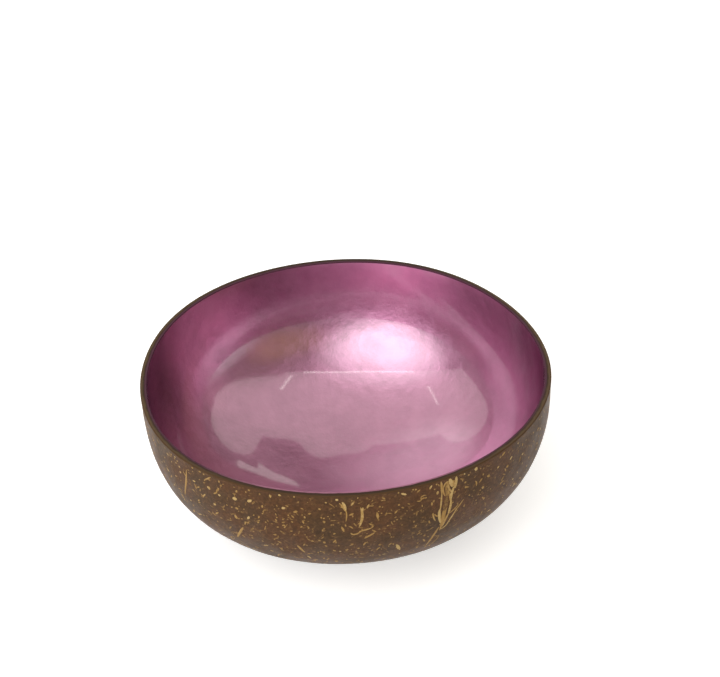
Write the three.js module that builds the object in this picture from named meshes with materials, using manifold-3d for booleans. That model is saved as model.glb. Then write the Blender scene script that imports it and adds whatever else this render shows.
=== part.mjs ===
import * as THREE from 'three';
import { mergeVertices } from 'three/addons/utils/BufferGeometryUtils.js';
import Module from 'manifold-3d';

// A bowl made from half a coconut shell. The shell is sawn level and sanded, with a flat foot at its natural
// end. Pale strands of coir are grown into its outside, the sawn edge is sealed, and the inside is lacquered.
// Millimetres, +Z up, origin at the middle of the foot. Bearings are degrees to the right of the front (-Y).

// Driving dimensions of the shell.
const BOWL_HEIGHT = 52;
const RIM_RADIUS = 65;
const FOOT_SANDING = 1.4; // height of the natural end that is sanded away
const SECTION_FULLNESS = 2.78; // 2 gives an elliptical section, more gives steeper sides
const RIM_WALL = 1.2;
const BASE_WALL = 3;

// The nut is not quite round: its rim swells a little at these bearings.
const LOBES = [
  { count: 2, swell: 0.15, bearing: 45 },
  { count: 3, swell: 0.47, bearing: 72 },
  { count: 4, swell: 0.29, bearing: 54 },
  { count: 5, swell: 0.19, bearing: 15 },
];

// The sealed edge and the lacquer.
const RIM_SEAL = 0.4;
const RIM_ROUNDING = 0.3;
const GROUND_COAT = 0.3;
const COLOUR_COAT = 0.3;
const CLEAR_COAT = 0.3;

// Coir strands are sanded flush with the shell and lie in shallow grooves.
const STRAND_DEPTH = 0.5;
const STRAND_CLEARANCE = 0.3;
const STRAND_WIDTH = 1;
const STRAND_END_SHARE = 0.4; // width of a strand's ends, as a share of its middle

// Bundles of coir along the three seams of the nut.
const SEAM_TOP = 1.3; // depth below the rim where a bundle starts
const SEAM_LENGTH = 16.5;
const SEAM_SPREAD = 4.6;
const SEAM_WAIST = 1.4;
const SEAM_STRAND_WIDTH = 1.7;
const SEAM_TAIL = 11.5;

// Fineness of the facets.
const SEGMENTS = 48;
const OUTER_ROWS = 10;
const INNER_ROWS = 10;
const ROW_CROWDING = 1.3;
const ROUNDING_STEPS = 3;
const STRAND_STEPS = 6;
const MERGE_DISTANCE = 1e-4;

const wasm = await Module();
wasm.setup();

// The section of the natural nut: (r / RIM_RADIUS)^2 + (depth / nutDepth)^SECTION_FULLNESS = 1.
const nutDepth = BOWL_HEIGHT + FOOT_SANDING;
const baseWallOfNut = BASE_WALL + FOOT_SANDING;
const radiusAt = (depth) => RIM_RADIUS * Math.sqrt(1 - (depth / nutDepth) ** SECTION_FULLNESS);
const depthAt = (swing) => nutDepth * Math.sin(swing) ** (2 / SECTION_FULLNESS);
const swingAt = (depth) => Math.asin((depth / nutDepth) ** (SECTION_FULLNESS / 2));

// The section's outward normal, as a radial part and a downward part.
function normalAt(radius, depth) {
  const radial = 2 * radius / RIM_RADIUS ** 2;
  const downward = SECTION_FULLNESS * depth ** (SECTION_FULLNESS - 1) / nutDepth ** SECTION_FULLNESS;
  return new THREE.Vector2(radial, downward).normalize();
}

// Swing angles from one point of the section to another, closer together near the rim.
function swings(from, to, rows) {
  return Array.from({ length: rows + 1 }, (_, row) => from + (to - from) * (row / rows) ** ROW_CROWDING);
}

// A point of the section, moved inwards from the outer face by a distance that may grow towards the base.
function sectionPoint(swing, inset) {
  const radius = RIM_RADIUS * Math.cos(swing);
  const depth = depthAt(swing);
  const normal = normalAt(radius, depth);
  const distance = inset(Math.sin(swing) ** 2);
  return new THREE.Vector2(
    Math.max(radius - distance * normal.x, 0),
    BOWL_HEIGHT - depth + distance * normal.y,
  );
}

// A face of the lining, from the sawn edge down to the axis.
function liningFace(coats) {
  const inset = (share) => RIM_WALL + (baseWallOfNut - RIM_WALL) * share + coats;
  const face = swings(swingAt(RIM_SEAL), Math.PI / 2, INNER_ROWS).map((swing) => sectionPoint(swing, inset));
  face[0].y = BOWL_HEIGHT - RIM_SEAL;
  face.at(-1).x = 0;
  return face;
}

// The outside of the shell, from the sawn edge down to the foot, moved inwards by a set distance.
function outerFace(inset) {
  const from = swingAt(RIM_SEAL);
  const to = swingAt(BOWL_HEIGHT);
  const face = swings(from, to, OUTER_ROWS).map((swing) => sectionPoint(swing, () => inset));
  face[0].y = BOWL_HEIGHT - RIM_SEAL;
  return face;
}

// How much further out the shell lies at a bearing (in radians), as a factor on the radius.
function lobe(bearing) {
  const swells = LOBES.map(({ count, swell, bearing: crest }) => (
    swell * Math.cos(count * (bearing - THREE.MathUtils.degToRad(crest)))
  ));
  return 1 + swells.reduce((sum, swell) => sum + swell, 0) / RIM_RADIUS;
}

// Turns a closed profile about the axis and gives the round its lobes. The faces point outwards whichever way
// the profile runs.
function revolve(profile) {
  const geometry = new THREE.LatheGeometry(profile, SEGMENTS);
  geometry.rotateX(Math.PI / 2);
  const position = geometry.getAttribute('position');
  for (let i = 0; i < position.count; i++) {
    const factor = lobe(Math.atan2(position.getX(i), -position.getY(i)));
    position.setXY(i, position.getX(i) * factor, position.getY(i) * factor);
  }
  if (THREE.ShapeUtils.area(profile) < 0) {
    const order = geometry.index.array;
    for (let i = 0; i < order.length; i += 3) {
      [order[i + 1], order[i + 2]] = [order[i + 2], order[i + 1]];
    }
  }
  return geometry;
}

function toSolid(geometry) {
  geometry.deleteAttribute('normal');
  geometry.deleteAttribute('uv');
  const merged = mergeVertices(geometry, MERGE_DISTANCE);
  return new wasm.Manifold(new wasm.Mesh({
    numProp: 3,
    vertProperties: merged.getAttribute('position').array,
    triVerts: new Uint32Array(merged.index.array),
  }));
}

function toGeometry(solid) {
  const mesh = solid.getMesh();
  const geometry = new THREE.BufferGeometry();
  geometry.setAttribute('position', new THREE.BufferAttribute(mesh.vertProperties, 3));
  geometry.setIndex(new THREE.BufferAttribute(mesh.triVerts, 1));
  geometry.computeVertexNormals();
  return geometry;
}

const bowl = new THREE.Group();

function addPiece(name, geometry, finish) {
  const piece = new THREE.Mesh(geometry, new THREE.MeshStandardMaterial(finish));
  piece.name = name;
  bowl.add(piece);
}

const up = (face) => face.toReversed();
const shellFace = liningFace(0);
const groundFace = liningFace(GROUND_COAT);
const colourFace = liningFace(GROUND_COAT + COLOUR_COAT);
const clearFace = liningFace(GROUND_COAT + COLOUR_COAT + CLEAR_COAT);
const outside = outerFace(0);

// Neighbouring profiles run the same way along the face they share, so that both split it alike.
const shellProfile = [new THREE.Vector2(0, 0), ...up(outside), ...shellFace];
const groundProfile = [...up(groundFace), ...shellFace];
const colourProfile = [...up(groundFace), ...colourFace];
const clearProfile = [...up(clearFace), ...colourFace];

// A softened corner of the rim, from the top to the side. It turns outwards (1) or inwards (-1).
function softCorner(edge, way) {
  const rounding = Math.min(RIM_ROUNDING, RIM_SEAL);
  return Array.from({ length: ROUNDING_STEPS + 1 }, (_, step) => {
    const turn = Math.PI / 2 * step / ROUNDING_STEPS;
    return new THREE.Vector2(
      edge.x - way * rounding * (1 - Math.sin(turn)),
      BOWL_HEIGHT - rounding * (1 - Math.cos(turn)),
    );
  });
}

// The sealer lies on the sawn edge, over the shell and the ends of the three coats inside it.
function sealProfile() {
  const inner = clearFace[0];
  const outer = outside[0];
  return [inner, ...up(softCorner(inner, -1)), ...softCorner(outer, 1), outer, inner];
}

// The point of the outside at an angle from the front and a depth below the rim.
function onShell(angle, depth) {
  const radius = radiusAt(depth) * lobe(angle);
  return new THREE.Vector3(radius * Math.sin(angle), -radius * Math.cos(angle), BOWL_HEIGHT - depth);
}

// A block standing square on the shell over one strand: a ribbon through three points of the outside, each
// a distance to the right of the strand's bearing and a depth, widest at its middle. The growth widens it and
// moves its ends out.
function strandBlock(bearing, { path, width }, growth) {
  const toBearing = (along) => THREE.MathUtils.degToRad(bearing) + along / RIM_RADIUS;
  const [angle, depth] = [toBearing(path[1][0]), path[1][1]];
  const slope = normalAt(radiusAt(depth), depth);
  const along = new THREE.Vector3(Math.cos(angle), Math.sin(angle), 0);
  const outward = new THREE.Vector3(slope.x * Math.sin(angle), -slope.x * Math.cos(angle), -slope.y);
  const upward = new THREE.Vector3().crossVectors(outward, along);
  const frame = new THREE.Matrix4().makeBasis(along, upward, outward).setPosition(onShell(angle, depth));
  const toFrame = frame.clone().invert();
  const flat = path.map(([right, down]) => onShell(toBearing(right), down).applyMatrix4(toFrame));
  const curve = new THREE.SplineCurve(flat.map((point) => new THREE.Vector2(point.x, point.y)));

  const sides = [[], []];
  for (let step = 0; step <= STRAND_STEPS; step++) {
    const t = step / STRAND_STEPS;
    const tangent = curve.getTangent(t);
    const centre = curve.getPoint(t);
    if (step === 0) centre.addScaledVector(tangent, -growth);
    if (step === STRAND_STEPS) centre.addScaledVector(tangent, growth);
    const share = STRAND_END_SHARE + (1 - STRAND_END_SHARE) * Math.sin(Math.PI * t);
    const half = width / 2 * share + growth;
    sides[0].push(new THREE.Vector2(centre.x - tangent.y * half, centre.y + tangent.x * half));
    sides[1].push(new THREE.Vector2(centre.x + tangent.y * half, centre.y - tangent.x * half));
  }
  const reach = STRAND_DEPTH + STRAND_CLEARANCE + curve.getLength() / 4;
  const outline = new THREE.Shape([...sides[0], ...sides[1].toReversed()]);
  const block = new THREE.ExtrudeGeometry(outline, { depth: 2 * reach, bevelEnabled: false });
  block.translate(0, 0, -reach);
  return toSolid(block.applyMatrix4(frame));
}

const bundleBlock = ({ bearing, strands }, growth) => strands
  .map((strand) => strandBlock(bearing, strand, growth))
  .reduce((whole, block) => whole.add(block));

// The nut as a full solid, moved inwards: a strand is what lies between two of these.
function core(inset) {
  const face = outerFace(inset);
  const bottom = new THREE.Vector2(0, face.at(-1).y);
  const top = new THREE.Vector2(0, face[0].y);
  return toSolid(revolve([bottom, ...up(face), top]));
}

// A forked bundle along one seam of the nut: strands that start side by side and draw together, and a tail
// that trails off to one side. The lean says how far to the right of its waist the bundle starts.
function seamBundle({ bearing, lean, tailLean }) {
  const waist = SEAM_TOP + SEAM_LENGTH;
  const strands = [-1, 0, 1].map((place) => {
    const start = lean + place * SEAM_SPREAD / 2;
    const end = place * SEAM_WAIST / 2;
    return {
      path: [[start, SEAM_TOP], [(start + end) / 2, (SEAM_TOP + waist) / 2], [end, waist]],
      width: SEAM_STRAND_WIDTH,
    };
  });
  const tail = {
    path: [[0, waist - SEAM_WAIST], [tailLean / 2, waist + SEAM_TAIL / 2], [tailLean, waist + SEAM_TAIL]],
    width: STRAND_WIDTH,
  };
  return { bearing, strands: [...strands, tail] };
}

// A single strand: it starts at a bearing and a depth below the rim, runs to the right and drops, and bows to
// the right between its ends.
function singleStrand({ bearing, top, run, drop, bow }) {
  const path = [[0, top], [run / 2 + bow, top + drop / 2], [run, top + drop]];
  return { bearing, strands: [{ path, width: STRAND_WIDTH }] };
}

const COIR = {
  front_seam_fibres: seamBundle({ bearing: 26, lean: 2, tailLean: -4 }),
  back_right_seam_fibres: seamBundle({ bearing: 146, lean: -1, tailLean: 2 }),
  back_left_seam_fibres: seamBundle({ bearing: -94, lean: 1, tailLean: -2 }),
  front_branch_fibre: singleStrand({ bearing: 32.4, top: 10.8, run: -4, drop: 7.4, bow: -0.5 }),
  middle_long_fibre: singleStrand({ bearing: 3.2, top: 4.7, run: -0.6, drop: 7.5, bow: 0.9 }),
  middle_short_fibre: singleStrand({ bearing: -1.4, top: 2.5, run: 0.9, drop: 7.3, bow: 0.6 }),
  lower_middle_fibre: singleStrand({ bearing: 1.2, top: 15.5, run: 5.5, drop: -2.1, bow: 0 }),
  lower_left_fibre: singleStrand({ bearing: -14.4, top: 21.8, run: 1.8, drop: 3.8, bow: 0 }),
  left_lower_fibre: singleStrand({ bearing: -29.6, top: 17.8, run: -4.8, drop: 7.4, bow: 0.2 }),
  left_side_fibre: singleStrand({ bearing: -47, top: 3, run: -3.6, drop: 12.6, bow: 0.6 }),
};
const COIR_FINISH = { color: 0xb8935a, roughness: 0.7, metalness: 0 };

const nut = core(0);
const strandFloor = core(STRAND_DEPTH);
const grooveFloor = core(STRAND_DEPTH + STRAND_CLEARANCE);
const grooves = Object.values(COIR)
  .map((bundle) => bundleBlock(bundle, STRAND_CLEARANCE))
  .reduce((whole, block) => whole.add(block))
  .subtract(grooveFloor);

const shell = toSolid(revolve(shellProfile)).subtract(grooves);
addPiece('coconut_shell', toGeometry(shell), { color: 0x5c3d2e, roughness: 0.5, metalness: 0 });
addPiece('rim_seal', revolve(sealProfile()), { color: 0x2c2622, roughness: 0.45, metalness: 0 });
addPiece('ground_coat', revolve(groundProfile), { color: 0x2b2025, roughness: 0.5, metalness: 0 });
addPiece('colour_coat', revolve(colourProfile), { color: 0xa85c84, roughness: 0.35, metalness: 0.7 });
addPiece('clear_coat', revolve(clearProfile), {
  color: 0xf4e6ee, roughness: 0.08, metalness: 0, transparent: true, opacity: 0.2,
});
for (const [name, bundle] of Object.entries(COIR)) {
  const fibres = bundleBlock(bundle, 0).intersect(nut).subtract(strandFloor);
  addPiece(name, toGeometry(fibres), COIR_FINISH);
}

export default bowl;
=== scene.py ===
import math
import random

import bmesh
import bpy
from mathutils import Matrix, Vector, noise


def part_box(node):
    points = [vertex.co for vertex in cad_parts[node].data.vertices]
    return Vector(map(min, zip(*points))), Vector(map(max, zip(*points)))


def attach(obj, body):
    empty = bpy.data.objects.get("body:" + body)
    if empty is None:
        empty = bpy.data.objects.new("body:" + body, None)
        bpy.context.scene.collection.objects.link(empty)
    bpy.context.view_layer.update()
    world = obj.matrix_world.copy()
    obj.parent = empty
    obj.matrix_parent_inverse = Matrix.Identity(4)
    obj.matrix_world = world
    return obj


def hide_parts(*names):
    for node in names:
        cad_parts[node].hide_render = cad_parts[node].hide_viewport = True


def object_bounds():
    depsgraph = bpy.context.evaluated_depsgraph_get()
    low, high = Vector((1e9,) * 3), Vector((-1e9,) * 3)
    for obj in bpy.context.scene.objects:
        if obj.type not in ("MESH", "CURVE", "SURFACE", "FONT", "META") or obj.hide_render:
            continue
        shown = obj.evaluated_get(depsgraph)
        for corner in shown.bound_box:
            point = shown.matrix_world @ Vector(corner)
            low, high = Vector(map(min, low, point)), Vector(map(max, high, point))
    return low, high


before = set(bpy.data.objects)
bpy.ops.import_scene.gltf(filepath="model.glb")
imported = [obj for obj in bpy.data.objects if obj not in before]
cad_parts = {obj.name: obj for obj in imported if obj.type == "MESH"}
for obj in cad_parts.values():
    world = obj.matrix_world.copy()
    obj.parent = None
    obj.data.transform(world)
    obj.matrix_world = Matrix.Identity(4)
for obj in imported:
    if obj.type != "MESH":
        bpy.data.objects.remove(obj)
cad_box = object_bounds()


# The shell is half a coconut, sawn level across its widest part and sanded smooth, with a flat foot sanded
# on its natural end. It is close-grained and hard, mottled red and dark brown, under a thin satin varnish.
MM = 0.001
BOWL_HEIGHT = cad_box[1].z
RIM_RADIUS = 64.95 * MM
FOOT_SANDING = 1.4 * MM
NUT_DEPTH = BOWL_HEIGHT + FOOT_SANDING
SECTION_FULLNESS = 2.78
RIM_WALL = 1.2 * MM
NUT_END_WALL = 4.4 * MM
SAWN_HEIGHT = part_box("rim_seal")[0].z
LOBES = ((2, 0.15 * MM, 45), (3, 0.47 * MM, 72), (4, 0.29 * MM, 54), (5, 0.19 * MM, 15))
TURN_STEPS = 192
SECTION_ROWS = 48
ROW_CROWDING = 1.3
MERGE_DISTANCE = 0.001 * MM
HOLLOW_SIZE = 11 * MM
HOLLOW_DEPTH = 0.16 * MM
LEVEL_BAND = 3 * MM
SHARP_ANGLE = math.radians(40)


def normal_at(depth):
    """The radius of the outside at a depth below the rim, and its normal's radial and downward parts."""
    radius = RIM_RADIUS * math.sqrt(1 - (depth / NUT_DEPTH) ** SECTION_FULLNESS)
    normal = Vector((
        2 * radius / RIM_RADIUS ** 2,
        SECTION_FULLNESS * depth ** (SECTION_FULLNESS - 1) / NUT_DEPTH ** SECTION_FULLNESS,
    )).normalized()
    return radius, normal.x, normal.y


def section_rows(top, bottom, inset_at_rim, inset_at_end):
    """Radius and height down the nut's section, moved in from the outside by a distance that may grow."""
    first, last = (
        math.asin(((BOWL_HEIGHT - height) / NUT_DEPTH) ** (SECTION_FULLNESS / 2)) for height in (top, bottom)
    )
    rows = []
    for row in range(SECTION_ROWS + 1):
        swing = first + (last - first) * (row / SECTION_ROWS) ** ROW_CROWDING
        depth = NUT_DEPTH * math.sin(swing) ** (2 / SECTION_FULLNESS)
        radius, radial, downward = normal_at(min(depth, NUT_DEPTH))
        inset = inset_at_rim + (inset_at_end - inset_at_rim) * math.sin(swing) ** 2
        rows.append((max(radius - inset * radial, 0), BOWL_HEIGHT - depth + inset * downward))
    rows[0] = (rows[0][0], top)
    return rows


def inner_face(coats):
    """The section of the inside, under a thickness of coats."""
    return section_rows(SAWN_HEIGHT, BOWL_HEIGHT - NUT_DEPTH, RIM_WALL + coats, NUT_END_WALL + coats)


def lobe(angle):
    """How far the shell swells at an angle to the right of the front, as a factor on its radius."""
    swells = (swell * math.cos(count * (angle - math.radians(crest))) for count, swell, crest in LOBES)
    return 1 + sum(swells) / RIM_RADIUS


def level_share(place):
    """Nought on the level rim and foot, and one away from them."""
    return max(min((SAWN_HEIGHT - place.z) / LEVEL_BAND, place.z / LEVEL_BAND, 1), 0)


def hollow(place):
    """How deep a shallow hollow of the hand-sanded shell lies at a place."""
    return HOLLOW_DEPTH * level_share(place) * (0.6 + 0.5 * noise.noise(place / HOLLOW_SIZE))


def to_object(name, bm):
    """A smooth object with sharp corners from a bmesh, which is freed."""
    for face in bm.faces:
        face.smooth = True
    for edge in bm.edges:
        edge.smooth = edge.calc_face_angle(0) < SHARP_ANGLE
    mesh = bpy.data.meshes.new(name)
    bm.to_mesh(mesh)
    bm.free()
    piece = bpy.data.objects.new(name, mesh)
    bpy.context.scene.collection.objects.link(piece)
    return piece


def spin_piece(name, section, sink=None):
    """Spins a section about the bowl's axis, gives the round its lobes, and sinks its surface unevenly."""
    bm = bmesh.new()
    points = [bm.verts.new((radius, 0, height)) for radius, height in section]
    lines = [bm.edges.new(pair) for pair in zip(points, points[1:])]
    bmesh.ops.spin(
        bm, geom=points + lines, axis=(0, 0, 1), cent=(0, 0, 0), angle=math.tau, steps=TURN_STEPS,
        use_merge=True,
    )
    bmesh.ops.remove_doubles(bm, verts=bm.verts, dist=MERGE_DISTANCE)
    bmesh.ops.recalc_face_normals(bm, faces=bm.faces)
    for vert in bm.verts:
        swell = lobe(math.atan2(vert.co.x, -vert.co.y))
        vert.co.x *= swell
        vert.co.y *= swell
    bm.normal_update()
    if sink:
        places = [(vert, vert.co - vert.normal * sink(vert.co)) for vert in bm.verts]
        for vert, place in places:
            vert.co = place
    return to_object(name, bm)


def add_node(tree, kind, inputs, **settings):
    """A shader node with its settings, its input values set and its input links made."""
    made = tree.nodes.new("ShaderNode" + kind)
    for key, value in settings.items():
        setattr(made, key, value)
    for key, value in inputs.items():
        if isinstance(value, bpy.types.NodeSocket):
            tree.links.new(value, made.inputs[key])
        else:
            made.inputs[key].default_value = value
    return made


def add_noise(tree, place, size, detail=2.0, roughness=0.5, stretch=(1, 1, 1)):
    """Noise whose patches are about a size across, in metres."""
    turned = add_node(tree, "Mapping", {"Vector": place, "Scale": [1 / size * part for part in stretch]})
    made = add_node(tree, "TexNoise", {
        "Vector": turned.outputs["Vector"], "Scale": 1.0, "Detail": detail, "Roughness": roughness,
    })
    return made.outputs["Fac"]


def add_range(tree, value, low, high, to_low=0.0, to_high=1.0):
    """A value that eases from one level to another over a range, and stays level past its ends."""
    made = add_node(tree, "MapRange", {
        "Value": value, "From Min": low, "From Max": high, "To Min": to_low, "To Max": to_high,
    }, interpolation_type="SMOOTHSTEP")
    return made.outputs["Result"]


def add_blend(tree, factor, first, second, mode="MIX"):
    """Two colours mixed by a factor."""
    made = add_node(tree, "Mix", {0: factor, 6: first, 7: second}, data_type="RGBA", blend_type=mode)
    return made.outputs[2]


def add_math(tree, operation, *values):
    return add_node(tree, "Math", dict(enumerate(values)), operation=operation).outputs[0]


def new_finish(name, sockets):
    """A new material, its node tree and its shader with some sockets set."""
    material = bpy.data.materials.new(name)
    material.use_nodes = True
    shader = material.node_tree.nodes["Principled BSDF"]
    for socket, value in sockets.items():
        shader.inputs[socket].default_value = value
    return material, material.node_tree, shader


def hand_finish_group():
    """Unevenness of a hand-rubbed or brushed finish: roughness in patches, and the height of its surface."""
    group = bpy.data.node_groups.new("hand_finish", "ShaderNodeTree")
    for socket in ("Patch Size", "Smoothest", "Roughest"):
        group.interface.new_socket(socket, in_out="INPUT", socket_type="NodeSocketFloat")
    for socket in ("Roughness", "Height"):
        group.interface.new_socket(socket, in_out="OUTPUT", socket_type="NodeSocketFloat")
    given = group.nodes.new("NodeGroupInput").outputs
    result = group.nodes.new("NodeGroupOutput").inputs
    place = add_node(group, "TexCoord", {}).outputs["Object"]
    scale = add_math(group, "DIVIDE", 1.0, given["Patch Size"])
    patches = add_node(group, "TexNoise", {"Vector": place, "Scale": scale, "Detail": 3.0})
    fine = add_node(group, "TexNoise", {
        "Vector": place, "Scale": add_math(group, "MULTIPLY", scale, 7.0), "Detail": 2.0,
    })
    rough = add_node(group, "MapRange", {
        "Value": patches.outputs["Fac"], "From Min": 0.3, "From Max": 0.7,
        "To Min": given["Smoothest"], "To Max": given["Roughest"],
    })
    group.links.new(rough.outputs["Result"], result["Roughness"])
    group.links.new(fine.outputs["Fac"], result["Height"])
    return group


def add_hand_finish(tree, shader, patch_size, smoothest, roughest, bump):
    """Gives a shader the roughness and the relief of the hand finish."""
    finish = add_node(tree, "Group", {}, node_tree=HAND_FINISH)
    finish.inputs["Patch Size"].default_value = patch_size
    finish.inputs["Smoothest"].default_value = smoothest
    finish.inputs["Roughest"].default_value = roughest
    relief = add_node(tree, "Bump", {"Height": finish.outputs["Height"], "Strength": 1.0, "Distance": bump})
    tree.links.new(finish.outputs["Roughness"], shader.inputs["Roughness"])
    tree.links.new(relief.outputs["Normal"], shader.inputs["Normal"])


HAND_FINISH = hand_finish_group()
SHELL_DARK = (0.040, 0.020, 0.010, 1)
SHELL_BROWN = (0.060, 0.031, 0.0118, 1)
SHELL_RED = (0.083, 0.035, 0.013, 1)
BURIED_COIR = (0.130, 0.066, 0.024, 1)
MOTTLING_SIZE = 13 * MM
FRECKLE_SIZE = 2.6 * MM
THREAD_SIZE = 2.4 * MM
THREAD_BREAK = 1.3 * MM
GRAIN_SIZE = 0.8 * MM
SATIN_VARNISH = {"Specular IOR Level": 0.11, "Coat Weight": 0.03, "Coat Roughness": 0.3}

outer_face = section_rows(SAWN_HEIGHT, 0, 0, 0)
shell_section = [(0, 0), *reversed(outer_face), *inner_face(0)]
shell = spin_piece("half_shell", shell_section, hollow)

shell_finish, tree, shader = new_finish("sanded_shell", SATIN_VARNISH)
place = add_node(tree, "TexCoord", {}).outputs["Object"]
mottling = add_range(tree, add_noise(tree, place, MOTTLING_SIZE, 4, 0.6), 0.32, 0.68)
colour = add_blend(tree, mottling, SHELL_BROWN, SHELL_RED)
freckles = add_range(tree, add_noise(tree, place, FRECKLE_SIZE, 3, 0.6), 0.5, 0.75, 0.0, 0.6)
colour = add_blend(tree, freckles, colour, SHELL_DARK)
thread = add_math(tree, "SUBTRACT", add_noise(tree, place, THREAD_SIZE, 1), 0.5)
thread = add_math(tree, "ABSOLUTE", thread)
broken = add_range(tree, add_noise(tree, place, THREAD_BREAK, 1, 0.5, (1.1, 0.9, 1.0)), 0.52, 0.66)
buried = add_math(tree, "MULTIPLY", add_range(tree, thread, 0.02, 0.06, 0.7, 0.0), broken)
colour = add_blend(tree, buried, colour, BURIED_COIR)
grain = add_range(tree, add_noise(tree, place, GRAIN_SIZE, 2, 0.6), 0.3, 0.7, 0.76, 1.24)
colour = add_blend(tree, 1.0, colour, grain, "MULTIPLY")
tree.links.new(colour, shader.inputs["Base Color"])
add_hand_finish(tree, shader, patch_size=6 * MM, smoothest=0.42, roughest=0.6, bump=0.06 * MM)
shell.data.materials.append(shell_finish)
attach(shell, "root")
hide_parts("coconut_shell")


# Strands of coir are grown into the outside of the shell. Sanding cuts them flush and shows them as pale
# gold streaks: thick forked bundles along the three seams of the nut, and single strands between them.
STRAND_HALF_THICKNESS = 0.05 * MM
STRAND_CROWN = 0.022 * MM
STRAND_OVERLAP = 0.004 * MM
COIR_DULL = (0.100, 0.048, 0.018, 1)
COIR_GOLD = (0.32, 0.186, 0.057, 1)
COIR_PALE = (0.46, 0.316, 0.128, 1)
COIR_GRAIN = 0.7 * MM


def on_shell(angle, depth, lift):
    """The point of the outside at an angle to the right of the front and a depth, lifted off it."""
    radius, radial, downward = normal_at(depth)
    swell = radius * lobe(angle)
    place = Vector((swell * math.sin(angle), -swell * math.cos(angle), BOWL_HEIGHT - depth))
    outward = Vector((radial * math.sin(angle), -radial * math.cos(angle), -downward))
    return place + outward * (lift - hollow(place))


def lay_strand(spindle, tones, bearing, path, width, tone, rise=0):
    """Lays a round spindle flat on the shell through three points, right of a bearing and below the rim."""
    start, middle, end = (Vector(point) for point in path)
    for vert in spindle:
        across, proud, along = vert.co
        t = (along + 1) / 2
        right, depth = (1 - t) * (1 - 2 * t) * start + 4 * t * (1 - t) * middle + t * (2 * t - 1) * end
        heading = (4 * t - 3) * start + (4 - 8 * t) * middle + (4 * t - 1) * end
        radius, radial = normal_at(depth)[:2]
        flat = Vector((heading.x * radius / RIM_RADIUS, heading.y / radial)).normalized()
        angle = math.radians(bearing) + right / RIM_RADIUS + flat.y * across * width / 2 / radius
        depth -= flat.x * across * width / 2 * radial
        lift = STRAND_CROWN + rise + (proud - 1) * STRAND_HALF_THICKNESS
        vert.co = on_shell(angle, depth, lift)
        vert[tones] = tone


def finish_strands(name, bm, *nodes):
    """Makes a piece of coir from a bmesh, and puts it in place of the solids that it stands for."""
    piece = to_object(name, bm)
    piece.data.materials.append(coir_finish)
    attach(piece, "root")
    if nodes:
        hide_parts(*nodes)


coir_finish, tree, shader = new_finish("varnished_coir", SATIN_VARNISH)
place = add_node(tree, "TexCoord", {}).outputs["Object"]
tone = add_node(tree, "Attribute", {}, attribute_name="tone").outputs["Fac"]
flecked = add_math(tree, "MULTIPLY_ADD", add_noise(tree, place, COIR_GRAIN, 3, 0.6), 0.9, -0.45)
shade = add_math(tree, "ADD", tone, flecked)
colour = add_blend(tree, add_range(tree, shade, 0.0, 0.5), COIR_DULL, COIR_GOLD)
colour = add_blend(tree, add_range(tree, shade, 0.55, 1.0), colour, COIR_PALE)
tree.links.new(colour, shader.inputs["Base Color"])
add_hand_finish(tree, shader, patch_size=1.2 * MM, smoothest=0.5, roughest=0.7, bump=0.05 * MM)

# Each strand's start, middle and end (right of the seam, below the rim), width and tone, in mm.
SEAM_STRANDS = (
    (((1.4, 1.2), (1.4, 4.1), (1.2, 7.4)), 1.8, 0.30),
    (((1.1, 7.0), (0.9, 10.3), (0.7, 13.0)), 1.8, 0.16),
    (((0.3, 12.2), (0.4, 15.6), (0.2, 20.4)), 1.5, 0.48),
    (((0.2, 23.7), (-0.7, 28.0), (-3.8, 30.6)), 0.6, 0.30),
    (((-0.6, 19.4), (-2.1, 23.6), (-3.4, 29.2)), 0.8, 0.52),
    (((-0.8, 0.7), (-0.6, 2.9), (-0.5, 5.8)), 0.8, 0.62),
    (((-0.5, 5.0), (-0.7, 8.6), (-0.9, 12.0)), 0.6, 0.74),
    (((-1.0, 11.2), (-1.1, 14.0), (-0.2, 18.0)), 1.0, 0.88),
    (((-0.5, 15.8), (0.1, 18.6), (-0.2, 21.4)), 0.7, 0.64),
    (((0.0, 3.6), (0.6, 2.0), (1.7, 1.6)), 0.6, 0.68),
    (((0.1, 2.8), (0.0, 4.9), (0.7, 6.9)), 0.5, 0.54),
    (((2.1, 0.7), (2.4, 2.0), (3.0, 4.2)), 1.2, 0.92),
    (((2.4, 0.9), (3.4, 3.2), (4.2, 4.9)), 0.7, 0.80),
    (((1.4, 2.0), (1.9, 4.3), (2.8, 6.2)), 0.6, 0.68),
    (((4.3, 0.7), (4.3, 2.6), (3.9, 5.1)), 1.0, 0.84),
    (((3.6, 1.7), (3.4, 2.8), (3.1, 4.0)), 0.5, 0.62),
    (((3.7, 4.0), (2.8, 6.6), (2.5, 9.4)), 1.0, 0.86),
    (((1.7, 5.0), (2.1, 7.4), (2.4, 9.8)), 0.5, 0.62),
    (((2.6, 8.6), (2.5, 11.6), (1.9, 15.0)), 0.9, 0.80),
    (((2.5, 9.8), (3.1, 10.4), (3.6, 10.2)), 0.4, 0.60),
    (((1.2, 11.6), (0.8, 14.2), (0.4, 17.1)), 0.5, 0.50),
    (((2.1, 14.2), (1.4, 16.3), (0.5, 19.8)), 0.7, 0.74),
    (((0.0, 12.6), (0.4, 15.2), (0.4, 18.5)), 0.5, 0.64),
    (((-3.3, 11.9), (-3.0, 14.0), (-2.2, 15.9)), 0.5, 0.68),
)
# The bearing of each seam, and how far its strands spread and reach, as shares of those at the front.
SEAM_BUNDLES = {
    "front_seam_fibres": (26, 1, 1),
    "back_right_seam_fibres": (146, -0.9, 0.95),
    "back_left_seam_fibres": (-94, 0.85, 0.88),
}
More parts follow.
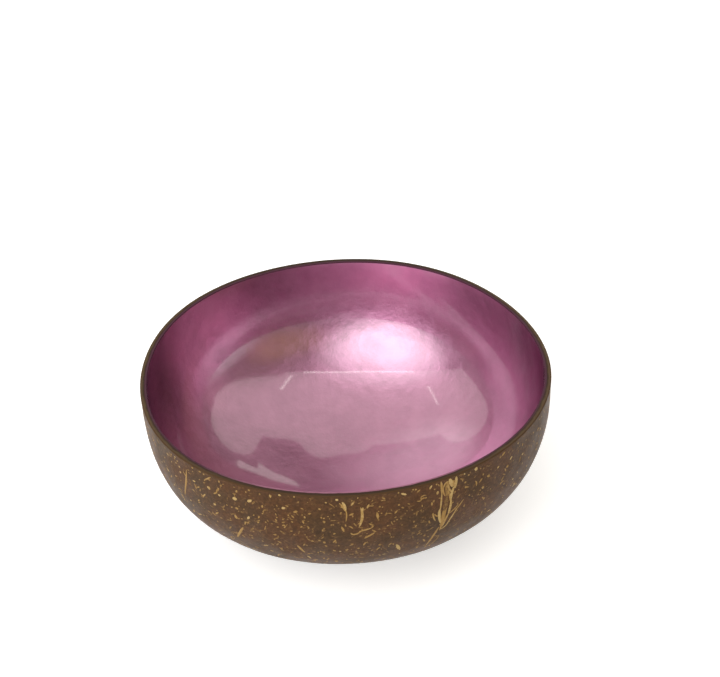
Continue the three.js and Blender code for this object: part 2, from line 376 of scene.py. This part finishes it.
# The bearing of each single strand in degrees, and the strands that it is made of, as for the seams.
SINGLE_STRANDS = {
    "front_branch_fibre": (32.4, (
        (((0.1, 10.6), (-1.2, 12.4), (-2.7, 14.2)), 0.5, 0.58),
        (((-1.9, 13.0), (-3.7, 16.4), (-5.2, 19.2)), 0.6, 0.80),
        (((-4.5, 17.9), (-5.7, 20.1), (-7.6, 21.0)), 0.6, 0.84),
        (((-1.8, 11.9), (-3.3, 13.5), (-5.4, 14.8)), 0.5, 0.58),
    )),
    "middle_long_fibre": (3.2, (
        (((0.1, 4.2), (0.6, 8.4), (-0.6, 12.8)), 1.0, 0.75),
        (((0.9, 4.6), (0.7, 6.0), (0.3, 8.2)), 0.7, 0.8),
    )),
    "middle_short_fibre": (-1.4, (
        (((0.9, 5.0), (1.2, 7.4), (0.8, 10.2)), 0.5, 0.45),
        (((0.0, 2.2), (0.7, 3.8), (1.0, 5.8)), 0.9, 0.85),
        (((-0.9, 2.6), (0.1, 4.0), (0.9, 6.0)), 0.6, 0.6),
    )),
    "lower_middle_fibre": (1.2, (
        (((-0.9, 14.6), (0.4, 15.6), (2.6, 14.2)), 0.7, 0.6),
        (((1.6, 14.5), (3.6, 13.9), (5.9, 13.2)), 0.7, 0.65),
        (((3.2, 17.8), (5.0, 16.6), (6.6, 15.4)), 0.7, 0.5),
    )),
    "lower_left_fibre": (-14.4, (
        (((-0.2, 21.4), (0.7, 23.4), (1.9, 25.9)), 0.9, 0.6),
    )),
    "left_lower_fibre": (-29.6, (
        (((0.0, 17.4), (-2.1, 21.0), (-4.9, 25.6)), 0.9, 0.6),
    )),
    "left_side_fibre": (-47, (
        (((0.0, 2.6), (-1.2, 9.0), (-3.7, 15.9)), 0.8, 0.55),
    )),
}

bundles = dict(SINGLE_STRANDS)
for node, (bearing, spread, reach) in SEAM_BUNDLES.items():
    bundles[node] = bearing, [
        ([(right * spread, depth * reach) for right, depth in path], width, strand_tone)
        for path, width, strand_tone in SEAM_STRANDS
    ]
for node, (bearing, strands) in bundles.items():
    bm = bmesh.new()
    tones = bm.verts.layers.float.new("tone")
    for order, (path, width, strand_tone) in enumerate(strands):
        spindle = bmesh.ops.create_uvsphere(bm, u_segments=10, v_segments=14, radius=1)["verts"]
        path = [(right * MM, depth * MM) for right, depth in path]
        lay_strand(spindle, tones, bearing, path, width * MM, strand_tone, order * STRAND_OVERLAP)
    finish_strands("coir_" + node, bm, node)


# Flecks are short ends of the same coir, cut across by the sanding all over the shell. They lie every way,
# and most are dull where they are only just laid bare. The plainest ones near the front have set places.
FLECK_DOUBLINGS = 12
FLECK_DEPTHS = (0.9 * MM, 49 * MM)
FLECK_LENGTHS = (0.6 * MM, 2.9 * MM)
FLECK_WIDTHS = (0.45 * MM, 1.0 * MM)
FLECK_BOW = 0.16
DULL_NARROWING = 0.8
DULL_TONE = 0.55
BRIGHT_TONES = (0.5, 0.95)
BRIGHT_SHARE = 0.22
KEPT_SHARE = 0.3
LEAST_STEEPNESS = 0.3
FRONT_BEARINGS = (-44, 44)
FRONT_DEPTH = 24 * MM
# Bearing and depth of each end, width and tone, in degrees and mm.
PLAIN_FLECKS = (
    (13.1, 22.8, 14.8, 27.3, 1.4, 0.91), (14.1, 1.3, 15.7, 2.3, 1.0, 0.92),
    (-30.0, 6.0, -31.5, 6.3, 1.3, 0.96), (-25.7, 4.7, -27.0, 6.0, 1.2, 0.93),
    (7.6, 6.8, 7.9, 10.1, 1.0, 0.60), (5.7, 3.5, 5.0, 5.4, 0.7, 0.71),
    (-17.2, 5.2, -16.7, 6.1, 1.3, 0.91), (-27.0, 11.8, -27.8, 13.4, 0.8, 1.00),
    (-37.8, 1.0, -40.4, 3.5, 0.6, 0.64), (1.7, 2.4, 0.9, 3.8, 0.6, 0.71),
    (-20.5, 1.1, -20.2, 2.5, 0.8, 0.77), (22.9, 12.1, 23.7, 15.5, 0.6, 0.62),
    (-1.9, 11.7, -1.2, 14.4, 0.8, 0.46), (-7.0, 5.3, -7.7, 4.7, 0.8, 0.66),
    (22.6, 7.4, 22.7, 9.0, 0.7, 0.59), (-13.1, 6.2, -14.4, 6.9, 0.9, 0.37),
    (-37.3, 11.9, -38.2, 11.5, 1.2, 0.81), (22.7, 0.9, 22.0, 2.4, 0.8, 0.85),
    (-39.6, 5.3, -38.6, 6.3, 1.3, 0.82), (13.2, 7.4, 12.3, 8.7, 0.6, 0.42),
    (-29.8, 2.4, -30.2, 3.6, 0.7, 0.69), (-31.6, 12.9, -31.1, 14.7, 1.1, 0.62),
    (-35.8, 6.5, -35.5, 7.4, 1.0, 0.87), (-2.9, 1.8, -2.5, 1.0, 1.0, 0.88),
    (-22.7, 5.8, -22.9, 7.0, 0.7, 0.58), (38.4, 6.0, 37.2, 7.2, 0.8, 0.36),
    (-11.5, 7.9, -11.3, 9.0, 0.6, 0.64), (-40.6, 9.0, -41.7, 10.7, 0.6, 0.77),
    (-30.0, 10.1, -31.0, 9.7, 0.9, 0.65), (-9.6, 6.7, -10.5, 7.1, 0.7, 0.41),
    (39.9, 14.7, 39.4, 15.3, 1.0, 0.61), (41.2, 6.9, 39.9, 6.1, 0.8, 0.49),
    (-19.4, 10.5, -19.2, 11.5, 0.7, 0.60), (13.5, 5.1, 13.5, 6.0, 0.7, 0.39),
    (2.9, 22.7, 2.1, 22.6, 0.9, 0.42), (1.2, 19.9, -0.0, 21.1, 0.8, 0.36),
    (-3.5, 14.6, -4.2, 15.3, 0.7, 0.51), (19.4, 1.5, 18.4, 2.3, 0.6, 0.45),
    (-28.5, 14.8, -29.0, 16.2, 0.6, 0.67), (8.7, 5.3, 8.1, 4.9, 0.7, 0.38),
    (-12.3, 12.1, -12.8, 12.9, 0.6, 0.50), (-5.7, 2.1, -5.5, 2.8, 0.8, 0.75),
    (38.4, 9.4, 39.1, 10.4, 0.9, 0.72), (-7.0, 18.7, -6.6, 19.6, 0.9, 0.55),
    (33.5, 6.4, 32.5, 6.5, 0.8, 0.52), (-25.9, 1.1, -26.6, 1.3, 0.6, 0.70),
    (14.9, 7.2, 14.2, 6.6, 0.6, 0.34), (-6.1, 9.6, -6.5, 10.5, 0.6, 0.51),
    (21.2, 4.9, 20.7, 5.4, 0.7, 0.37), (-10.7, 12.2, -10.6, 13.1, 0.6, 0.49),
    (-3.4, 7.2, -3.9, 7.2, 0.6, 0.46), (48.5, 7.5, 47.4, 7.8, 1.0, 0.44),
    (8.7, 21.3, 8.2, 22.2, 0.9, 0.34), (35.5, 1.0, 36.7, 1.3, 1.3, 1.00),
    (34.1, 2.3, 33.4, 2.1, 0.7, 0.60), (-37.0, 14.6, -38.4, 16.2, 0.6, 0.61),
    (-15.1, 10.4, -14.7, 11.1, 0.7, 0.37), (-16.8, 12.9, -17.3, 13.7, 0.6, 0.50),
    (-6.9, 13.0, -6.9, 14.1, 0.6, 0.34), (-24.0, 10.5, -24.4, 11.8, 0.6, 0.43),
    (-15.0, 14.6, -15.8, 15.0, 0.7, 0.32), (-11.1, 16.9, -11.6, 17.0, 0.8, 0.36),
    (-1.6, 6.1, -2.0, 6.6, 0.6, 0.43), (5.0, 16.6, 4.3, 17.3, 0.6, 0.32),
    (12.8, 9.9, 12.3, 10.5, 0.6, 0.35), (-6.1, 20.9, -6.7, 21.0, 1.0, 0.34),
    (46.9, 1.1, 45.4, 2.0, 0.9, 0.55), (-17.1, 10.3, -17.6, 10.1, 0.6, 0.44),
    (-24.3, 13.1, -24.9, 13.9, 0.6, 0.49), (11.3, 23.2, 10.8, 23.3, 0.7, 0.44),
    (-18.8, 13.6, -19.4, 14.1, 0.6, 0.42), (17.0, 8.2, 17.3, 9.0, 0.6, 0.25),
    (15.3, 9.1, 15.1, 9.8, 0.6, 0.33), (-42.5, 7.2, -43.5, 8.2, 0.6, 0.58),
    (-28.3, 21.2, -28.5, 20.8, 0.6, 0.57), (10.1, 7.7, 10.2, 8.5, 0.6, 0.34),
    (11.3, 16.9, 10.7, 16.4, 0.6, 0.21), (-4.0, 31.7, -4.6, 30.8, 1.4, 0.46),
    (-4.6, 11.0, -4.3, 11.4, 0.6, 0.35), (-35.4, 4.3, -36.0, 4.6, 0.8, 0.47),
    (20.1, 25.1, 19.5, 25.2, 0.8, 0.32), (-25.5, 11.0, -25.8, 10.6, 0.8, 0.43),
    (9.6, 1.3, 9.1, 1.4, 0.6, 0.20), (20.4, 10.4, 20.1, 9.9, 0.6, 0.20),
    (-28.4, 9.1, -28.2, 9.5, 0.8, 0.44), (-43.5, 13.1, -44.2, 14.1, 0.6, 0.60),
    (17.7, 13.2, 17.7, 14.1, 0.6, 0.24), (-15.9, 4.5, -15.6, 4.9, 0.6, 0.34),
    (12.1, 11.5, 12.4, 12.0, 0.6, 0.27), (-35.2, 1.0, -35.3, 2.0, 0.6, 0.60),
    (-31.8, 9.7, -32.3, 10.4, 0.6, 0.40), (-20.6, 19.6, -21.0, 20.4, 0.6, 0.33),
    (17.0, 6.8, 16.8, 7.2, 0.6, 0.20), (6.6, 24.0, 6.0, 24.7, 0.8, 0.28),
    (-3.3, 19.2, -3.9, 18.5, 0.6, 0.21), (35.4, 11.2, 35.0, 11.5, 0.6, 0.20),
    (-22.3, 12.3, -22.5, 13.0, 0.6, 0.32), (14.6, 14.0, 14.1, 13.8, 0.6, 0.20),
    (9.4, 15.1, 9.7, 15.6, 0.6, 0.21), (-11.5, 21.3, -12.0, 20.7, 0.7, 0.28),
    (-15.9, 9.6, -16.2, 10.1, 0.6, 0.23), (36.0, 1.9, 36.3, 1.0, 1.2, 0.95),
    (24.1, 0.9, 23.9, 1.5, 0.7, 0.55), (24.4, 3.8, 24.2, 5.3, 0.9, 0.75),
    (32.2, 1.3, 32.6, 0.9, 0.8, 0.80), (32.6, 4.2, 32.8, 4.8, 0.9, 0.50),
    (17.1, 0.9, 17.7, 0.9, 0.7, 0.55), (17.9, 1.2, 18.4, 0.9, 0.7, 0.65),
    (13.2, 0.9, 13.7, 0.9, 0.7, 0.65), (-18.2, 0.9, -17.3, 0.9, 0.8, 0.80),
    (-14.1, 0.9, -13.6, 0.9, 0.7, 0.70), (-44.8, 0.9, -44.0, 1.1, 0.6, 0.45),
    (-42.0, 0.9, -41.2, 1.0, 0.6, 0.50), (-40.6, 1.1, -40.0, 1.3, 0.6, 0.45),
    (54.9, 3.6, 54.5, 4.7, 0.8, 0.45), (2.6, 0.9, 2.9, 1.0, 0.7, 0.70),
)
chance = random.Random(41)


def fleck_path(centre, heading, length, bow):
    """The start, middle and end of a short strand that lies at a heading on the shell."""
    radius, radial = normal_at(centre.y)[:2]
    stretch = Matrix.Diagonal((RIM_RADIUS / radius, radial))
    reach = stretch @ Vector((math.cos(heading), math.sin(heading))) * length / 2
    side = stretch @ Vector((-math.sin(heading), math.cos(heading))) * bow
    return centre - reach, centre + side, centre + reach


def next_fleck():
    """A fleck's bearing, path, width and tone. As many lie to the area at the rim as at the foot."""
    while True:
        bearing = chance.uniform(-180, 180)
        centre = Vector((0, chance.uniform(*FLECK_DEPTHS)))
        radius, radial = normal_at(centre.y)[:2]
        length = FLECK_LENGTHS[0] + (FLECK_LENGTHS[1] - FLECK_LENGTHS[0]) * chance.random() ** 3
        path = fleck_path(centre, chance.uniform(0, math.pi), length, chance.gauss(0, FLECK_BOW) * length)
        kept = chance.random() < KEPT_SHARE * radius / RIM_RADIUS / max(radial, LEAST_STEEPNESS)
        if kept and all(FLECK_DEPTHS[0] < point.y < FLECK_DEPTHS[1] for point in path):
            break
    at_front = FRONT_BEARINGS[0] < bearing < FRONT_BEARINGS[1] and centre.y < FRONT_DEPTH
    if chance.random() < BRIGHT_SHARE and not at_front:
        return bearing, path, chance.uniform(*FLECK_WIDTHS), chance.uniform(*BRIGHT_TONES)
    width = chance.uniform(*FLECK_WIDTHS) * DULL_NARROWING
    return bearing, path, width, DULL_TONE * chance.random() ** 1.2


bm = bmesh.new()
tones = bm.verts.layers.float.new("tone")
numbers = bm.verts.layers.int.new("number")
bmesh.ops.create_uvsphere(bm, u_segments=5, v_segments=5, radius=1)
for doubling in range(FLECK_DOUBLINGS):
    for made in bmesh.ops.duplicate(bm, geom=[*bm.verts, *bm.edges, *bm.faces])["geom"]:
        if isinstance(made, bmesh.types.BMVert):
            made[numbers] += 2 ** doubling
spindles = {}
for vert in bm.verts:
    spindles.setdefault(vert[numbers], []).append(vert)
for number, spindle in spindles.items():
    if number < len(PLAIN_FLECKS):
        bearing, depth, end_bearing, end_depth, width, tone = PLAIN_FLECKS[number]
        start = Vector((0, depth * MM))
        end = Vector((math.radians(end_bearing - bearing) * RIM_RADIUS, end_depth * MM))
        path = start, (start + end) / 2, end
        lay_strand(spindle, tones, bearing, path, width * MM, tone, STRAND_OVERLAP)
    else:
        lay_strand(spindle, tones, *next_fleck())
finish_strands("coir_flecks", bm)


# The sealed edge is a brushed band of dark sealer over the sawn end grain of the shell and the ends of its
# coats. The pink of the lining laps over its inner corner, and the brown of the shell shows through where
# the edge is rubbed and at its outer corner, which is sanded bare. The rubbed brown is real wear in its
# patches, and painted light in that it is strongest at the left and right sides and faint at the front and
# back. The pink lap is painted shade: dark all round but at the front.
SEAL_ROUNDING = 0.3 * MM
SEAL_STEPS = 6
LINING_COATS = 0.9 * MM
SEAL_DARK = (0.034, 0.019, 0.012, 1)
SEAL_RUBBED_AND_LIT = (0.090, 0.058, 0.032, 1)
BARE_SHELL = (0.068, 0.036, 0.016, 1)
LAP_PAINTED_SHADE = (0.066, 0.025, 0.039, 1)
LAP_BRIGHT = (0.29, 0.125, 0.18, 1)
BRUSHING_SIZE = 4 * MM


def soft_corner(edge, way):
    """A softened corner of the rim, from the top to the side. It turns outwards (1) or inwards (-1)."""
    turns = [math.pi / 2 * step / SEAL_STEPS for step in range(SEAL_STEPS + 1)]
    return [
        (
            edge - way * SEAL_ROUNDING * (1 - math.sin(turn)),
            BOWL_HEIGHT - SEAL_ROUNDING * (1 - math.cos(turn)),
        )
        for turn in turns
    ]


edge_outside = outer_face[0]
edge_inside = inner_face(LINING_COATS)[0]
seal_section = [
    edge_inside,
    *reversed(soft_corner(edge_inside[0], -1)),
    *soft_corner(edge_outside[0], 1),
    edge_outside,
    edge_inside,
]
rim = spin_piece("sealed_edge", seal_section)
outward = rim.data.attributes.new("outward", "FLOAT", "POINT")
for vert, share in zip(rim.data.vertices, outward.data):
    radius = vert.co.xy.length / lobe(math.atan2(vert.co.x, -vert.co.y))
    share.value = (radius - edge_inside[0]) / (edge_outside[0] - edge_inside[0])

rim_finish, tree, shader = new_finish("edge_sealer", {"Specular IOR Level": 0.06})
place = add_node(tree, "TexCoord", {}).outputs["Object"]
share = add_node(tree, "Attribute", {}, attribute_name="outward").outputs["Fac"]
uneven = add_math(tree, "MULTIPLY_ADD", add_noise(tree, place, BRUSHING_SIZE, 4, 0.6), 0.7, -0.35)
rubbed = add_range(tree, add_math(tree, "ADD", share, uneven), 0.35, 0.75)
axes = add_node(tree, "SeparateXYZ", {"Vector": place}).outputs
# Painted light: the rubbed brown is full at the left and right sides and a fifth as strong at the front and
# back.
painted_side_light = add_range(tree, add_math(tree, "ABSOLUTE", axes["X"]), 22 * MM, 60 * MM, 0.2, 1.0)
colour = add_blend(tree, add_math(tree, "MULTIPLY", rubbed, painted_side_light), SEAL_DARK, SEAL_RUBBED_AND_LIT)
wavering = add_math(tree, "MULTIPLY_ADD", uneven, 0.35, share)
colour = add_blend(tree, add_range(tree, wavering, 0.78, 0.95), colour, BARE_SHELL)
# Painted shade: the pink lap is dark everywhere but at the front rim, where it keeps the lining's pink.
lap_with_painted_shade = add_blend(tree, add_range(tree, axes["Y"], -62 * MM, -46 * MM), LAP_BRIGHT, LAP_PAINTED_SHADE)
colour = add_blend(tree, add_range(tree, wavering, 0.26, 0.40), lap_with_painted_shade, colour)
tree.links.new(colour, shader.inputs["Base Color"])
add_hand_finish(tree, shader, patch_size=4 * MM, smoothest=0.4, roughest=0.6, bump=0.05 * MM)
rim.data.materials.append(rim_finish)
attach(rim, "root")
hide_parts("rim_seal")


# The ground coat is a dark sanding sealer brushed over the inside of the shell, so that the colour lies
# smooth and deep. The rim sealer and the colour coat cover it.
GROUND_COAT = 0.3 * MM
GROUND_DARK = (0.022, 0.014, 0.018, 1)
GROUND_WORN = (0.05, 0.03, 0.03, 1)
GROUND_STREAKS = 5 * MM

ground_section = [*reversed(inner_face(0)), *inner_face(GROUND_COAT)]
ground = spin_piece("ground_sealer", ground_section)

ground_finish, tree, shader = new_finish("ground_sealer", {})
place = add_node(tree, "TexCoord", {}).outputs["Object"]
brushed = add_range(tree, add_noise(tree, place, GROUND_STREAKS, 3), 0.4, 0.7)
tree.links.new(add_blend(tree, brushed, GROUND_DARK, GROUND_WORN), shader.inputs["Base Color"])
add_hand_finish(tree, shader, patch_size=6 * MM, smoothest=0.45, roughest=0.6, bump=0.03 * MM)
ground.data.materials.append(ground_finish)
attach(ground, "root")
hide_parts("ground_coat")


# The lining is pink lacquer full of metal flake, brushed on and flooded with clear lacquer, which sets
# glossy and not quite level. Both coats end under the sealed edge.
RIPPLE_SIZE = 11 * MM
RIPPLE_DEPTH = 0.015 * MM
POOL_MIDDLE = Vector((-20 * MM, 14 * MM))
POOL_SIZE = 20 * MM
POOL_DEPTH = 0.22 * MM
PINK_DEEP = (0.405, 0.176, 0.289, 1)
PINK_BRIGHT = (0.470, 0.211, 0.336, 1)
FLAKE_TINT = (0.25, 0.12, 0.18, 1)
CLOUD_SIZE = 10 * MM
MARK_SIZE = 4.5 * MM
MARK_DEPTH = 0.25 * MM
# Painted light and shade on the lining: patches where its colour is painted paler (above nought), standing
# in for reflections and light, or deeper, standing in for shade: the middle and the reach of each patch in
# mm, and how much.
PAINTED_LIGHT_PATCHES = (
    ((19, 60, 47), 27, 0.8),
    ((-29, 55, 48), 27, -0.35),
    ((59, 22, 48), 25, -0.5),
    ((46, 45, 48), 18, -0.35),
    ((-60, 15, 36), 20, -0.4),
    ((-54, 35, 42), 22, 0.6),
    ((-39, 49, 41), 16, 0.5),
    ((-47, 32, 24), 15, 0.45),
    ((-15, 54, 24), 15, -0.22),
)


def ripple(place):
    """How deep the lacquer's ripples lie at a place. They are strongest where it pooled as it set."""
    pooled = math.exp(-((place.xy - POOL_MIDDLE).length / POOL_SIZE) ** 2)
    return (RIPPLE_DEPTH + POOL_DEPTH * pooled) * level_share(place) * noise.noise(place / RIPPLE_SIZE)


lining_section = [*reversed(inner_face(GROUND_COAT)), *inner_face(LINING_COATS)]
lining = spin_piece("lacquer_lining", lining_section, ripple)

lining_finish, tree, shader = new_finish("metal_flake_lacquer", {
    "Metallic": 1.0, "Specular Tint": FLAKE_TINT,
    "Coat Weight": 1.0, "Coat Roughness": 0.07, "Coat IOR": 1.9,
})
place = add_node(tree, "TexCoord", {}).outputs["Object"]
clouds = add_range(tree, add_noise(tree, place, CLOUD_SIZE, 5, 0.6), 0.3, 0.7)
colour = add_blend(tree, clouds, PINK_DEEP, PINK_BRIGHT)
# Painted light and shade: the pink is brightened or darkened patch by patch, fading out at each patch's
# reach.
painted_light_level = 1.0
for middle, reach, change in PAINTED_LIGHT_PATCHES:
    off_middle = add_node(tree, "VectorMath", {0: place, 1: Vector(middle) * MM}, operation="DISTANCE")
    painted_patch = add_range(tree, off_middle.outputs["Value"], 0.0, reach * MM, change, 0.0)
    painted_light_level = add_math(tree, "ADD", painted_light_level, painted_patch)
colour = add_blend(tree, 1.0, colour, painted_light_level, "MULTIPLY")
tree.links.new(colour, shader.inputs["Base Color"])
add_hand_finish(tree, shader, patch_size=4 * MM, smoothest=0.36, roughest=0.44, bump=0.02 * MM)
marks = add_node(tree, "Bump", {
    "Height": add_noise(tree, place, MARK_SIZE, 4, 0.58), "Strength": 1.0, "Distance": MARK_DEPTH,
    "Normal": shader.inputs["Normal"].links[0].from_socket,
})
tree.links.new(marks.outputs["Normal"], shader.inputs["Normal"])
lining.data.materials.append(lining_finish)
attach(lining, "root")
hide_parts("colour_coat", "clear_coat")


# The studio is a wide floor that shows plain white to the camera and in reflections, but still takes the
# bowl's shadow. A tent of level panels hangs over the bowl, and soft panels face it from all round, the
# strongest from the front left.
FLOOR_RADIUS = 6
FLOOR_DROP = 0.05 * MM
FLOOR_WHITE = (0.8, 0.8, 0.8, 1)
FLOOR_GLOW = 0.55

bm = bmesh.new()
bmesh.ops.create_circle(bm, cap_ends=True, segments=64, radius=FLOOR_RADIUS)
bmesh.ops.translate(bm, verts=bm.verts, vec=(0, 0, -FLOOR_DROP))
floor = to_object("studio_floor", bm)
floor_finish, tree, shader = new_finish("white_floor", {"Base Color": FLOOR_WHITE, "Roughness": 0.9})
path = add_node(tree, "LightPath", {}).outputs
seen = add_math(tree, "MAXIMUM", path["Is Camera Ray"], path["Is Glossy Ray"])
seen = add_math(tree, "MAXIMUM", seen, path["Is Transmission Ray"])
shader.inputs["Emission Color"].default_value = (1, 1, 1, 1)
tree.links.new(add_math(tree, "MULTIPLY", seen, FLOOR_GLOW), shader.inputs["Emission Strength"])
floor.data.materials.append(floor_finish)

BOWL_MIDDLE = Vector((0, 0, BOWL_HEIGHT / 2))


def add_panel(name, place, aim, width, depth, radiance):
    """A flat lamp of a radiance, at a place and turned to an aim."""
    lamp = bpy.data.lights.new(name, "AREA")
    lamp.shape = "RECTANGLE"
    lamp.size = width
    lamp.size_y = depth
    lamp.energy = radiance * math.pi * width * depth
    panel = bpy.data.objects.new(name, lamp)
    panel.location = place
    panel.rotation_euler = (aim - place).to_track_quat("-Z", "Y").to_euler()
    panel.visible_camera = False
    bpy.context.scene.collection.objects.link(panel)
    return panel


def round_off(panel, stretch, middle, inner, outer):
    """Lights only the part of a panel round a middle, in stretched shares of its sides, and fades it out."""
    panel.data.use_nodes = True
    tree = panel.data.node_tree
    across = add_node(tree, "NewGeometry", {}).outputs["Parametric"]
    across = add_node(tree, "VectorMath", {0: across, 1: stretch}, operation="MULTIPLY").outputs["Vector"]
    off_middle = add_node(tree, "VectorMath", {0: across, 1: middle}, operation="DISTANCE").outputs["Value"]
    light = tree.nodes["Emission"].inputs["Strength"]
    tree.links.new(add_range(tree, off_middle, inner, outer, 1.0, 0.0), light)


# The lit part of a panel: the stretch of its sides, the middle, and where the light starts to fade and ends.
HALF_ROUND = ((1, 0.5, 0), (0.5, 0, 0), 0.49, 0.5)
QUARTER_ROUND = ((1, 1, 0), (0, 1, 0), 0.85, 1.0)
FULL_ROUND = ((1, 1, 0), (0.5, 0.5, 0), 0.48, 0.5)
SOFT_ROUND = ((1, 1, 0), (0.5, 0.5, 0), 0.12, 0.55)

# The level panels: left, right, front and back edges per metre of height, height, radiance and lit part.
TENT_ANGLE = math.radians(-5)
TENT_TURN = Matrix.Rotation(TENT_ANGLE, 4, "Z")
TENT_WHITE = (1, 0.97, 0.91)
LEVEL_PANELS = (
    ("overhead_panel", -2.0, 0.5, -0.27, 0.66, 0.9, 0.78, None),
    ("rounded_end", 0.5, 1.8, -0.27, 0.66, 0.9, 0.78, QUARTER_ROUND),
    ("side_flap", 0.36, 1.54, 0.66, 1.15, 0.9, 0.78, HALF_ROUND),
    ("middle_flap", -0.17, 0.13, 0.66, 0.75, 0.9, 0.78, HALF_ROUND),
    ("right_flap", -2.0, -0.6, 0.66, 0.96, 0.9, 0.78, HALF_ROUND),
    ("back_panel", 0.08, 0.62, 0.98, 1.70, 0.9, 1.1, FULL_ROUND),
    ("front_strip", -0.62, 0.34, -0.268, -0.248, 0.87, 3.0, None),
    ("right_strip", 0.40, 0.42, -0.2, 0.03, 0.87, 3.0, None),
    ("left_strip", -0.68, -0.66, 0.01, 0.29, 0.87, 3.0, None),
)
for name, left, right, front, back, over, radiance, lit_part in LEVEL_PANELS:
    place = TENT_TURN @ (over * Vector(((left + right) / 2, (front + back) / 2, 1)))
    below = place - Vector((0, 0, 1))
    panel = add_panel(name, place, below, over * (right - left), over * (back - front), radiance)
    panel.rotation_euler.z += TENT_ANGLE
    panel.data.color = TENT_WHITE
    if lit_part:
        round_off(panel, *lit_part)

# The soft panels that face the bowl: bearing and height in degrees, width and depth in m, radiance, colour.
PANEL_WHITE = (1, 1, 1)
PANEL_WARM = (1, 0.68, 0.20)
FACING_PANELS = (
    ("key_panel", 213, 43, 1.55, 1.8, 2.6, PANEL_WHITE),
    ("key_glow", 214, 37, 1.8, 1.3, 0.9, PANEL_WHITE),
    ("back_left_panel", 335, 42, 0.8, 0.6, 0.95, PANEL_WHITE),
    ("low_panel", 8, 14, 0.9, 0.3, 3.0, PANEL_WHITE),
    ("right_low_panel", 104, 14, 1.0, 0.45, 0.9, PANEL_WHITE),
    ("warm_panel", 142, 30, 0.95, 0.8, 0.46, PANEL_WARM),
)
for name, bearing, height, width, depth, radiance, colour in FACING_PANELS:
    swing = math.radians(bearing)
    tilt = math.radians(height)
    way = Vector((math.sin(swing) * math.cos(tilt), math.cos(swing) * math.cos(tilt), math.sin(tilt)))
    away = 0.9 + 0.05 * width
    panel = add_panel(name, BOWL_MIDDLE + away * way, BOWL_MIDDLE, width, depth, radiance)
    panel.data.color = colour
    round_off(panel, *SOFT_ROUND)

SKY_LOW = (0.5, 0.5, 0.5, 1)
SKY_HIGH = (0.22, 0.20, 0.17, 1)

world = bpy.data.worlds.new("studio")
world.use_nodes = True
tree = world.node_tree
height = add_node(tree, "SeparateXYZ", {
    "Vector": add_node(tree, "TexCoord", {}).outputs["Generated"],
}).outputs["Z"]
dimming = add_range(tree, height, 0.09, 0.42)
sky = add_blend(tree, dimming, SKY_LOW, SKY_HIGH)
tree.links.new(sky, tree.nodes["Background"].inputs["Color"])
bpy.context.scene.world = world

CAMERA_AIM = Vector((5.53 * MM, 0, 63.18 * MM))
CAMERA_DISTANCE = 0.65
CAMERA_TILT = math.radians(34.36)
CAMERA_ROLL = -0.0389
LENS_LENGTH = 103.86
SENSOR_WIDTH = 36

lens = bpy.data.cameras.new("camera")
lens.lens = LENS_LENGTH
lens.sensor_width = SENSOR_WIDTH
camera = bpy.data.objects.new("camera", lens)
turn = Matrix.Rotation(math.pi / 2 - CAMERA_TILT, 4, "X") @ Matrix.Rotation(CAMERA_ROLL, 4, "Z")
camera.matrix_world = Matrix.Translation(CAMERA_AIM) @ turn @ Matrix.Translation((0, 0, CAMERA_DISTANCE))
bpy.context.scene.collection.objects.link(camera)
bpy.context.scene.camera = camera
bpy.context.scene.view_settings.view_transform = "Standard"
